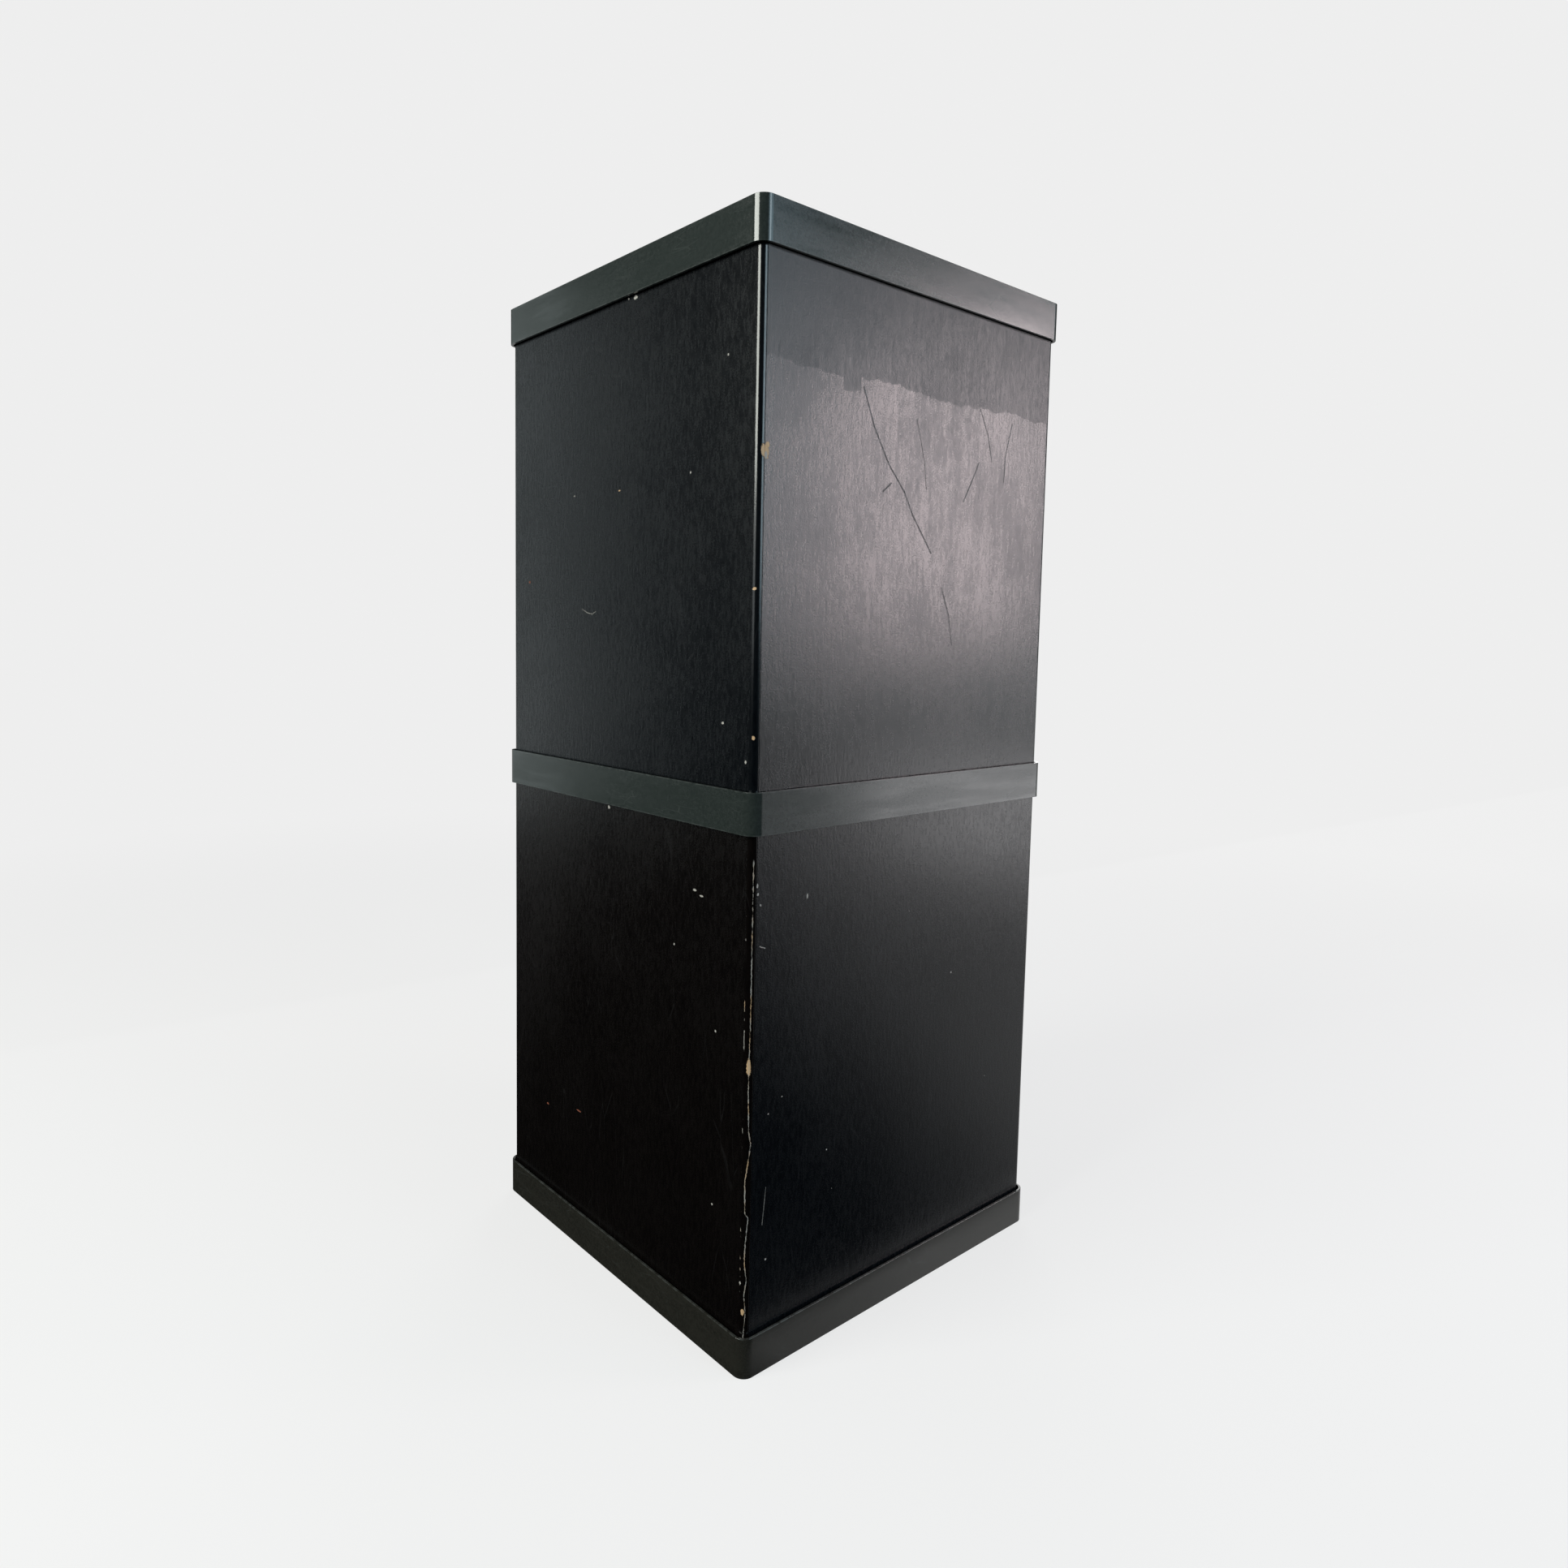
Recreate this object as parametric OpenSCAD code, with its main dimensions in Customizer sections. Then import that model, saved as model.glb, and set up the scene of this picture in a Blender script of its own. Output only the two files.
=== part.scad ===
// Two-tier stacking riser box. Three moulded frames hold eight black side panels.
// The lower box is closed by a deck; the upper box lifts straight up out of the joining frame.
// Origin: centre of the footprint on the floor, +Z up. The -Y side is the front.

/* [Overall] */
// Outside width and depth of the three bands
band_w = 340; // [260:5:600]
// Height of one band
band_h = 30; // [27:1:60]
// Height from the underside of one band to the underside of the next
tier_pitch = 390; // [250:10:700]
// Radius of the vertical corners of the bands
band_corner_r = 9.5; // [8:0.5:12]

/* [Moulded frames] */
// Wall thickness of the skirt that shows outside
skirt_t = 2; // [1.6:0.2:3]
// Gap between the inside of the skirt and the face of a panel
skirt_gap = 2; // [1.2:0.2:3]
// Thickness of the level walls of a frame
web_t = 3; // [2.5:0.5:4]
// Thickness of the inner wall that stands behind the panels
inner_wall_t = 2.5; // [1.5:0.5:4]
// Number of locating ribs along one side of a groove
rib_count = 3; // [1:1:5]
// Width of a locating rib
rib_w = 3; // [2:0.5:6]
// Distance from the edge of the skirt to the end of a rib
rib_setback = 6; // [3:0.5:9]

/* [Boards] */
// Thickness of the side panels
panel_t = 10; // [8:1:16]
// Thickness of the base board, the deck board and the top board
board_t = 12; // [9:1:14]
// Depth of the boards below the edge of their frame
board_recess = 1.5; // [0.5:0.25:3]
// Rounding of the outside vertical edges of the panels
panel_edge_r = 4.5; // [3:0.5:4.5]
// Easing of the two edges that meet at a joint line
joint_ease_r = 0.4; // [0.2:0.1:0.6]

/* [Posts] */
// Width and depth of a corner post
post_w = 22; // [20:1:32]

/* [Screws] */
// Shank diameter of the long screws through the base board and the deck
long_screw_d = 4.5; // [4:0.5:6]
// Length of the long screws
long_screw_l = 50; // [40:5:70]
// Shank diameter of the panel screws and of the short screws
small_screw_d = 3.5; // [3:0.5:4.5]
// Depth that a panel screw bites into a panel
panel_bite = 6.5; // [4:0.5:7]
// Depth that a short screw bites into the top board
board_bite = 8; // [5:0.5:8]
// Length of the screws that hold the top frame on its posts
frame_screw_l = 35; // [25:5:50]
// Number of screws along each edge of a panel
screws_per_edge = 3; // [2:1:5]
// Distance from a band to the first panel screw
screw_end_dist = 50; // [30:5:80]
// Height between the two rows of screws in one post
screw_stagger = 14; // [8:1:25]
// Distance of the short screws from the middle of each side
board_screw_dist = 70; // [30:5:90]

/* [Clearances] */
// Between a panel and the inner wall of a frame
slip_clear = 0.5; // [0.3:0.1:0.8]
// Between a locating rib and a panel
rib_clear = 0.3; // [0.3:0.1:0.6]
// Between the edge of a board and the inner wall around it
board_clear = 0.5; // [0.3:0.1:1]
// Between the rounded edge of a panel and the corner of the skirt
corner_clear = 0.4; // [0.3:0.1:0.8]
// Between the upper posts and the joining frame below them
post_foot_clear = 1; // [0.5:0.5:4]
// Between a post and the ends of the inner wall beside it
notch_clear = 0.5; // [0.3:0.1:1]
// Between a screw and its hole, on the radius
screw_clear = 0.05; // [0.03:0.01:0.1]

/* [Hidden] */
$fn = 48;

band_color = "#39443f";
panel_color = "#16191c";
post_color = "#c8a878";
screw_color = "#b9bcc0";

// Small overlap that keeps the cutting shapes clear of the faces they open
cut = 1;

// Half widths, from the outside in
half_band = band_w / 2;
skirt_in = half_band - skirt_t;
panel_out = skirt_in - skirt_gap;
panel_in = panel_out - panel_t;
wall_out = panel_in - slip_clear;
wall_in = wall_out - inner_wall_t;
board_half = wall_in - board_clear;
lap_t = panel_t / 2;
lap_in = panel_out - lap_t;
post_in = panel_in - post_w;
post_mid = (panel_in + post_in) / 2;
shelf_mid = (wall_in + post_in) / 2;

// Heights within one band, and the underside of each band
shelf_gap = board_recess + board_t;
web_z = band_h - shelf_gap - web_t;
joining_z = tier_pitch;
top_z = 2 * tier_pitch;
total_h = top_z + band_h;

// Levels where the panels and the posts begin and end
lower_panel_z = web_t;
lower_panel_top = joining_z + web_z;
upper_panel_z = lower_panel_top + web_t;
upper_panel_top = total_h - web_t;
lower_post_z = shelf_gap + web_t;
lower_post_top = lower_panel_top;
upper_post_z = joining_z + band_h + post_foot_clear;
upper_post_top = top_z + web_z;

// The edge of a panel is rounded enough to pass inside the corner of the skirt
skirt_in_r = band_corner_r - skirt_t;
corner_reach = skirt_in_r - skirt_gap;
passing_r = (corner_clear + sqrt(2) * corner_reach - skirt_in_r) / (sqrt(2) - 1);
edge_r = max(min(panel_edge_r, lap_t - joint_ease_r), passing_r);

// Countersunk heads are twice as wide as their shank, with a 45 degree cone
panel_screw_l = post_w + panel_bite;
board_screw_l = web_t + board_bite;

// ---- Flat outlines ----

// A square with four round corners
module rounded_square(half, r) {
    square([2 * half, 2 * (half - r)], center = true);
    square([2 * (half - r), 2 * half], center = true);
    for (x = [-1, 1], y = [-1, 1])
        translate([x * (half - r), y * (half - r)]) circle(r = r);
}

// What a round edge takes off a square corner at the origin; dx and dy point into the board
module corner_waste(r, dx, dy) {
    difference() {
        translate([dx > 0 ? -cut : -r, dy > 0 ? -cut : -r]) square(r + cut);
        translate([dx * r, dy * r]) circle(r = r);
    }
}

// A board seen from above, with a rounding for each corner: near-near, far-near, far-far, near-far
module board_outline(x0, x1, y0, y1, radii) {
    difference() {
        translate([x0, y0]) square([x1 - x0, y1 - y0]);
        translate([x0, y0]) corner_waste(radii[0], 1, 1);
        translate([x1, y0]) corner_waste(radii[1], -1, 1);
        translate([x1, y1]) corner_waste(radii[2], -1, -1);
        translate([x0, y1]) corner_waste(radii[3], 1, -1);
    }
}

// What is cut from the end of a panel so that it laps half its thickness over the next one,
// at the -X -Y corner
module lap_waste() {
    translate([-lap_in, -panel_out - cut]) square([lap_t + cut, panel_t + cut]);
    translate([-lap_in, -panel_out]) corner_waste(joint_ease_r, -1, 1);
}

// ---- Frame pieces ----

// A square block centred on the axis
module square_block(half, z0, z1) {
    translate([-half, -half, z0]) cube([2 * half, 2 * half, z1 - z0]);
}

// A block with the rounded outline of a band
module band_block(half, r, z0, z1) {
    translate([0, 0, z0]) linear_extrude(height = z1 - z0) rounded_square(half, r);
}

// The outer wall that shows as a band
module skirt() {
    difference() {
        band_block(half_band, band_corner_r, 0, band_h);
        band_block(skirt_in, skirt_in_r, -cut, band_h + cut);
    }
}

// The level wall between the skirt and the inner wall, where panel edges seat
module groove_floor(z) {
    difference() {
        band_block(half_band, band_corner_r, z, z + web_t);
        square_block(wall_in, z - cut, z + web_t + cut);
    }
}

// The inner wall behind the panels
module inner_wall() {
    difference() {
        square_block(wall_out, 0, band_h);
        square_block(wall_in, -cut, band_h + cut);
    }
}

// The level wall inside the inner wall, on which a board lies
module shelf(z) {
    difference() {
        square_block(wall_out, z, z + web_t);
        square_block(post_in, z - cut, z + web_t + cut);
    }
}

// Room for the four posts where they pass the inner wall
module post_notches(z0, z1) {
    reach = post_in - notch_clear;
    for (x = [0, 1], y = [0, 1])
        mirror([x, 0, 0]) mirror([0, y, 0])
            translate([reach, reach, z0]) cube([post_w + cut, post_w + cut, z1 - z0]);
}

// Locating ribs on the inside of the skirt
module ribs(z0, z1) {
    depth = skirt_gap - rib_clear;
    run = 2 * post_in / (rib_count + 1);
    for (side = [0 : 3], i = [1 : rib_count])
        rotate([0, 0, 90 * side])
            translate([i * run - post_in - rib_w / 2, skirt_in - depth, z0])
                cube([rib_w, depth + skirt_t / 2, z1 - z0]);
}

// Places the children over the axis of each post
module at_posts(z) {
    for (x = [-1, 1], y = [-1, 1]) translate([x * post_mid, y * post_mid, z]) children();
}

// Positions of the short screws, two along each side of a shelf
module at_shelf(z) {
    for (side = [0 : 3], d = [-1, 1])
        rotate([0, 0, 90 * side]) translate([d * board_screw_dist, shelf_mid, z]) children();
}

// ---- Screws ----

// A countersunk wood screw pointing along -Z, its head level with the origin
module countersunk_screw(d, l, grow = 0) {
    r = d / 2 + grow;
    head_r = d + grow;
    tip = d;
    rotate_extrude()
        polygon([[0, 0], [head_r, 0], [r, -(head_r - r)], [r, tip - l], [0.2, -l], [0, -l]]);
}

// A pan head screw pointing along +Z, its head under the origin
module pan_screw(d, l, grow = 0) {
    r = d / 2 + grow;
    head_r = d;
    head_h = d * 0.6;
    rotate_extrude()
        polygon([[0, -head_h], [head_r * 0.8, -head_h], [head_r, -head_h * 0.5],
            [head_r, 0], [r, 0], [r, l - d], [0.2, l], [0, l]]);
}

// The cross recess of a screw head, cut downwards from the origin
module cross_recess(d) {
    for (a = [0, 90])
        rotate([0, 0, a]) translate([-d * 0.55, -d * 0.1, -d * 0.3]) cube([d * 1.1, d * 0.2, d]);
}

module finished_screw(d, l) {
    difference() {
        countersunk_screw(d, l);
        cross_recess(d);
    }
}

module finished_pan_screw(d, l) {
    difference() {
        pan_screw(d, l);
        translate([0, 0, -d * 0.6]) mirror([0, 0, 1]) cross_recess(d);
    }
}

// Heights of the panel screws of one tier: bottom is the level of the band's top edge
function screw_heights(bottom) =
    let (run = tier_pitch - band_h - 2 * screw_end_dist - screw_stagger)
    [for (i = [0 : screws_per_edge - 1])
        bottom + screw_end_dist + i * run / max(1, screws_per_edge - 1)];

// Places the children at each screw of the post at the +X +Y corner, pointing out along -Z
module at_post_screws(bottom) {
    for (z = screw_heights(bottom)) {
        translate([post_in, post_mid, z]) rotate([0, -90, 0]) children();
        translate([post_mid, post_in, z + screw_stagger]) rotate([90, 0, 0]) children();
    }
}

// Turns a +X +Y corner into the corner with the given signs
module to_corner(x, y) {
    mirror([x < 0 ? 1 : 0, 0, 0]) mirror([0, y < 0 ? 1 : 0, 0]) children();
}

module all_panel_screw_holes(bottom) {
    for (x = [-1, 1], y = [-1, 1])
        to_corner(x, y) at_post_screws(bottom)
            countersunk_screw(small_screw_d, panel_screw_l, screw_clear);
}

// ---- Boards and posts ----

// One side panel: its extent, the rounding of each corner, its levels and its tier.
// The children are cut from its outline
module panel(x0, x1, y0, y1, radii, z0, z1, bottom) {
    color(panel_color) difference() {
        translate([0, 0, z0]) linear_extrude(height = z1 - z0) difference() {
            board_outline(x0, x1, y0, y1, radii);
            children();
        }
        all_panel_screw_holes(bottom);
    }
}

// The left panel laps over the ends of the front and back panels
module left_panel(z0, z1, bottom) {
    panel(-panel_out, -panel_in, -panel_out, panel_out,
        [edge_r, joint_ease_r, joint_ease_r, edge_r], z0, z1, bottom) {
        lap_waste();
        mirror([0, 1, 0]) lap_waste();
    }
}

// The front panel ends under the lap of the left one and laps over the end of the right one
module front_panel(z0, z1, bottom) {
    panel(-lap_in, panel_out, -panel_out, -panel_in,
        [joint_ease_r, edge_r, joint_ease_r, joint_ease_r], z0, z1, bottom)
        rotate([0, 0, 90]) lap_waste();
}

// The right panel ends under the lap of the front one and laps over the end of the back one
module right_panel(z0, z1, bottom) {
    panel(panel_in, panel_out, -lap_in, panel_out,
        [joint_ease_r, joint_ease_r, edge_r, joint_ease_r], z0, z1, bottom)
        mirror([1, 0, 0]) mirror([0, 1, 0]) lap_waste();
}

// The back panel ends under the laps of the left and right ones
module back_panel(z0, z1, bottom) {
    panel(-lap_in, lap_in, panel_in, panel_out,
        [joint_ease_r, joint_ease_r, joint_ease_r, joint_ease_r], z0, z1, bottom);
}

// A square board inside the inner wall of a frame
module flat_board(z) {
    square_block(board_half, z, z + board_t);
}

module post_block(z0, z1) {
    translate([post_in, post_in, z0]) cube([post_w, post_w, z1 - z0]);
}

// A post of the lower box, with holes for the long screws in both ends
module lower_post(x, y) {
    color(post_color) difference() {
        to_corner(x, y) post_block(lower_post_z, lower_post_top);
        to_corner(x, y) at_post_screws(band_h)
            countersunk_screw(small_screw_d, panel_screw_l, screw_clear);
        base_screw_shapes(screw_clear);
        deck_screw_shapes(screw_clear);
    }
}

// A post of the upper box, with a hole for the top frame screw
module upper_post(x, y) {
    color(post_color) difference() {
        to_corner(x, y) post_block(upper_post_z, upper_post_top);
        to_corner(x, y) at_post_screws(joining_z + band_h)
            countersunk_screw(small_screw_d, panel_screw_l, screw_clear);
        top_frame_screw_shapes(screw_clear);
    }
}

// The outlines of the screw groups, used for the screws' holes as well
module base_screw_shapes(grow) {
    at_posts(board_recess) mirror([0, 0, 1]) countersunk_screw(long_screw_d, long_screw_l, grow);
}

module deck_screw_shapes(grow) {
    at_posts(upper_panel_z + board_t) countersunk_screw(long_screw_d, long_screw_l, grow);
}

module top_frame_screw_shapes(grow) {
    at_posts(upper_post_top + web_t) countersunk_screw(small_screw_d, frame_screw_l, grow);
}

module top_board_screw_shapes(grow) {
    at_shelf(upper_post_top) pan_screw(small_screw_d, board_screw_l, grow);
}

module panel_screws(bottom) {
    for (x = [-1, 1], y = [-1, 1])
        to_corner(x, y) at_post_screws(bottom) finished_screw(small_screw_d, panel_screw_l);
}

// ---- Nodes of the lower box ----

module base_frame() {
    color(band_color) difference() {
        union() {
            skirt();
            groove_floor(0);
            inner_wall();
            shelf(shelf_gap);
            ribs(web_t / 2, band_h - rib_setback);
        }
        post_notches(shelf_gap + web_t, band_h + cut);
        base_screw_shapes(screw_clear);
    }
}

module base_board() {
    color(panel_color) difference() {
        flat_board(board_recess);
        base_screw_shapes(screw_clear);
    }
}

module lower_panel_left() { left_panel(lower_panel_z, lower_panel_top, band_h); }
module lower_panel_front() { front_panel(lower_panel_z, lower_panel_top, band_h); }
module lower_panel_right() { right_panel(lower_panel_z, lower_panel_top, band_h); }
module lower_panel_back() { back_panel(lower_panel_z, lower_panel_top, band_h); }
module lower_post_front_left() { lower_post(-1, -1); }
module lower_post_front_right() { lower_post(1, -1); }
module lower_post_back_left() { lower_post(-1, 1); }
module lower_post_back_right() { lower_post(1, 1); }

// The middle band: the lower panels end in its lower groove, the upper box stands in the upper one
module joining_frame() {
    color(band_color) difference() {
        translate([0, 0, joining_z]) difference() {
            union() {
                skirt();
                groove_floor(web_z);
                inner_wall();
                shelf(web_z);
                ribs(rib_setback, band_h - rib_setback);
            }
            post_notches(-cut, web_z);
        }
        deck_screw_shapes(screw_clear);
    }
}

module deck_board() {
    color(panel_color) difference() {
        flat_board(upper_panel_z);
        deck_screw_shapes(screw_clear);
    }
}

module base_screws() {
    color(screw_color) at_posts(board_recess)
        mirror([0, 0, 1]) finished_screw(long_screw_d, long_screw_l);
}

module deck_screws() {
    color(screw_color) at_posts(upper_panel_z + board_t)
        finished_screw(long_screw_d, long_screw_l);
}

module lower_panel_screws() { color(screw_color) panel_screws(band_h); }

// ---- Nodes of the upper box ----

module upper_panel_left() { left_panel(upper_panel_z, upper_panel_top, joining_z + band_h); }
module upper_panel_front() { front_panel(upper_panel_z, upper_panel_top, joining_z + band_h); }
module upper_panel_right() { right_panel(upper_panel_z, upper_panel_top, joining_z + band_h); }
module upper_panel_back() { back_panel(upper_panel_z, upper_panel_top, joining_z + band_h); }
module upper_post_front_left() { upper_post(-1, -1); }
module upper_post_front_right() { upper_post(1, -1); }
module upper_post_back_left() { upper_post(-1, 1); }
module upper_post_back_right() { upper_post(1, 1); }

// The top band: closed above, with a groove below for the upper panels
module top_frame() {
    color(band_color) difference() {
        translate([0, 0, top_z]) difference() {
            union() {
                skirt();
                groove_floor(band_h - web_t);
                inner_wall();
                shelf(web_z);
                ribs(rib_setback, band_h - web_t / 2);
            }
            post_notches(-cut, web_z);
        }
        top_frame_screw_shapes(screw_clear);
        top_board_screw_shapes(screw_clear);
    }
}

module top_board() {
    color(panel_color) difference() {
        flat_board(upper_post_top + web_t);
        top_board_screw_shapes(screw_clear);
    }
}

module upper_panel_screws() { color(screw_color) panel_screws(joining_z + band_h); }

module top_frame_screws() {
    color(screw_color) at_posts(upper_post_top + web_t)
        finished_screw(small_screw_d, frame_screw_l);
}

module top_board_screws() {
    color(screw_color) at_shelf(upper_post_top) finished_pan_screw(small_screw_d, board_screw_l);
}

base_frame();
base_board();
lower_panel_left();
lower_panel_front();
lower_panel_right();
lower_panel_back();
lower_post_front_left();
lower_post_front_right();
lower_post_back_left();
lower_post_back_right();
joining_frame();
deck_board();
base_screws();
deck_screws();
lower_panel_screws();
upper_panel_left();
upper_panel_front();
upper_panel_right();
upper_panel_back();
upper_post_front_left();
upper_post_front_right();
upper_post_back_left();
upper_post_back_right();
top_frame();
top_board();
upper_panel_screws();
top_frame_screws();
top_board_screws();
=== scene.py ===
"""Looks of a two-tier stacking riser box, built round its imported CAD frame.

Three moulded bands hold eight black foil-faced board panels. The bands and the panels
are rebuilt here with their rounded edges; boards, posts and screws keep their CAD shapes
and get their finishes. All lengths are in metres unless a name ends in MM.
"""

import logging
import math
from dataclasses import dataclass, replace
from enum import Enum
from functools import reduce
from typing import Callable, Iterable, Sequence

import bmesh
import bpy
from mathutils import Matrix, Vector


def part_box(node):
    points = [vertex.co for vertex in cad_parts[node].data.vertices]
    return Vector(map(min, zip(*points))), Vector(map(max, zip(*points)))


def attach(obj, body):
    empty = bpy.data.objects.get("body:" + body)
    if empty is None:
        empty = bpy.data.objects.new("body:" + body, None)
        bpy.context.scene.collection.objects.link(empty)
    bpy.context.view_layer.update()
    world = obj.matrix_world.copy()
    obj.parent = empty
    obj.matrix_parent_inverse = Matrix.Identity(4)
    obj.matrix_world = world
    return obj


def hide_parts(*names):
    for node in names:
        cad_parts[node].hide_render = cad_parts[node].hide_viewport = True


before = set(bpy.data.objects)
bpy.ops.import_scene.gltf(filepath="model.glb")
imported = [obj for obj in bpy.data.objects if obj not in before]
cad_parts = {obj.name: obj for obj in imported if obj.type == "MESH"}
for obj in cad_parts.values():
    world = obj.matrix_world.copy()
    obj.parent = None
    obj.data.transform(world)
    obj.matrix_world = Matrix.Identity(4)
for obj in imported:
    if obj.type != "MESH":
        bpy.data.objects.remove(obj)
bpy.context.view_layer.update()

LOG = logging.getLogger("riser_box")
MM = 0.001

RGB = tuple[float, float, float]
Point = tuple[float, float, float]
Socket = bpy.types.NodeSocket
Node = bpy.types.Node
NodeTree = bpy.types.NodeTree
Material = bpy.types.Material
Object = bpy.types.Object


class Face(Enum):
    """The four sides of the box."""

    LEFT = "left"
    FRONT = "front"
    RIGHT = "right"
    BACK = "back"


class Tier(Enum):
    """The two boxes, each with the CAD body that its pieces ride on."""

    LOWER = "lower_box"
    UPPER = "upper_box"

    @property
    def prefix(self) -> str:
        """The first word of this tier's node names."""
        return self.value.split("_")[0]


class MarkKind(Enum):
    """What a small mark on a panel shows."""

    TAN_CHIP = "bare core"
    PALE_SPECK = "pale speck"
    RED_RUB = "reddish rub"


# ---------------------------------------------------------------- node sheets


class Sheet:
    """Adds and joins shader nodes in one node tree."""

    def __init__(self, tree: NodeTree) -> None:
        """Takes the tree to work in.

        Args:
            tree: the node tree of a material, a world or a group.
        """
        self.tree = tree

    def node(self, kind: str, **settings: object) -> Node:
        """Adds a node.

        Args:
            kind: Blender's node type name.
            settings: properties to set on the node.

        Returns:
            The new node.
        """
        made = self.tree.nodes.new(kind)
        for name, value in settings.items():
            setattr(made, name, value)
        return made

    def feed(self, target: Socket, value: object) -> None:
        """Links a socket to an input, or sets the input to a constant.

        Args:
            target: the input socket.
            value: an output socket, a number or a tuple.
        """
        if isinstance(value, Socket):
            self.tree.links.new(value, target)
        else:
            target.default_value = value

    def math(self, operation: str, *values: object, clamp: bool = False) -> Socket:
        """Adds a Math node.

        Args:
            operation: the operation's name.
            values: its inputs, sockets or numbers.
            clamp: whether the result is held between 0 and 1.

        Returns:
            The node's output socket.
        """
        made = self.node("ShaderNodeMath", operation=operation, use_clamp=clamp)
        for target, value in zip(made.inputs, values):
            self.feed(target, value)
        return made.outputs[0]

    def add(self, first: object, second: object) -> Socket:
        """Returns the sum of two values."""
        return self.math("ADD", first, second)

    def sub(self, first: object, second: object) -> Socket:
        """Returns the first value less the second."""
        return self.math("SUBTRACT", first, second)

    def mul(self, first: object, second: object) -> Socket:
        """Returns the product of two values."""
        return self.math("MULTIPLY", first, second)

    def scale_add(self, value: object, scale: object, base: object) -> Socket:
        """Returns a value times a scale, plus a base."""
        return self.math("MULTIPLY_ADD", value, scale, base)

    def vector(self, operation: str, *values: object) -> Node:
        """Adds a Vector Math node.

        Args:
            operation: the operation's name.
            values: its inputs, sockets or tuples.

        Returns:
            The node, whose outputs are Vector and Value.
        """
        made = self.node("ShaderNodeVectorMath", operation=operation)
        for target, value in zip(made.inputs, values):
            self.feed(target, value)
        return made

    def ramp(self, value: object, low: float, high: float, out_low: float = 0.0,
             out_high: float = 1.0, smooth: bool = True) -> Socket:
        """Maps a value from one range to another, held at both ends.

        Args:
            value: the input socket.
            low: the input that gives out_low.
            high: the input that gives out_high.
            out_low: the result at low.
            out_high: the result at high.
            smooth: whether the step is smooth instead of straight.

        Returns:
            The mapped value's socket.
        """
        made = self.node("ShaderNodeMapRange",
                         interpolation_type="SMOOTHSTEP" if smooth else "LINEAR", clamp=True)
        for target, entry in zip(made.inputs, (value, low, high, out_low, out_high)):
            self.feed(target, entry)
        return made.outputs[0]

    def blend(self, factor: object, first: object, second: object,
              mode: str = "MIX") -> Socket:
        """Adds a colour Mix node.

        Args:
            factor: how much of the second colour shows.
            first: the colour below.
            second: the colour on top.
            mode: the blend type.

        Returns:
            The mixed colour's socket.
        """
        made = self.node("ShaderNodeMix", data_type="RGBA", blend_type=mode)
        self.feed(made.inputs[0], factor)
        for target, value in ((made.inputs[6], first), (made.inputs[7], second)):
            if isinstance(value, tuple) and len(value) == 3:
                value = (*value, 1.0)
            self.feed(target, value)
        return made.outputs[2]

    def noise(self, place: object, scale: float, detail: float = 2.0,
              roughness: float = 0.5) -> Socket:
        """Adds a noise texture.

        Args:
            place: the vector socket that it reads.
            scale: cells for each metre.
            detail: its number of octaves.
            roughness: how much the finer octaves count.

        Returns:
            The noise value's socket.
        """
        made = self.node("ShaderNodeTexNoise")
        self.feed(made.inputs["Vector"], place)
        made.inputs["Scale"].default_value = scale
        made.inputs["Detail"].default_value = detail
        made.inputs["Roughness"].default_value = roughness
        return made.outputs[0]

    def place(self) -> Socket:
        """Returns the Object coordinates, which are the shared frame in metres."""
        return self.node("ShaderNodeTexCoord").outputs["Object"]

    def stretch(self, place: object, scale: object) -> Socket:
        """Returns a place multiplied along each axis, for a pulled texture."""
        return self.vector("MULTIPLY", place, scale).outputs[0]

    def split(self, value: object) -> tuple[bpy.types.NodeSocket, ...]:
        """Splits a vector into its X, Y and Z sockets.

        Args:
            value: the vector socket.

        Returns:
            The three output sockets.
        """
        made = self.node("ShaderNodeSeparateXYZ")
        self.feed(made.inputs[0], value)
        return tuple(made.outputs)

    def use(self, group: NodeTree, **values: object) -> Node:
        """Places a shared group and feeds its inputs.

        Args:
            group: the node group.
            values: its inputs by name.

        Returns:
            The group's node.
        """
        made = self.node("ShaderNodeGroup")
        made.node_tree = group
        for name, value in values.items():
            self.feed(made.inputs[name], value)
        return made

    def coat(self, colour: Socket, mask: object, share: object, tone: object) -> Socket:
        """Returns a colour with a share of a tone laid over it, where a mask is."""
        return self.blend(self.mul(mask, share), colour, tone)


VECTOR = "NodeSocketVector"
FLOAT = "NodeSocketFloat"


def start_group(name: str, inputs: Sequence[tuple[str, str]],
                outputs: Sequence[str] = ("Mask",)) -> tuple[Sheet, object, object]:
    """Makes an empty shader group that reads a place and some other values.

    Args:
        name: the group's name.
        inputs: pairs of socket name and socket type, besides Place.
        outputs: the names of its outputs, which are all plain values.

    Returns:
        The sheet to build in, the group's inputs and its outputs, both by name.
    """
    tree = bpy.data.node_groups.new(name, "ShaderNodeTree")
    for label, kind in (("Place", VECTOR), *inputs):
        tree.interface.new_socket(name=label, in_out="INPUT", socket_type=kind)
    for label in outputs:
        tree.interface.new_socket(name=label, in_out="OUTPUT", socket_type=FLOAT)
    sheet = Sheet(tree)
    return sheet, sheet.node("NodeGroupInput").outputs, sheet.node("NodeGroupOutput").inputs


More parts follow.
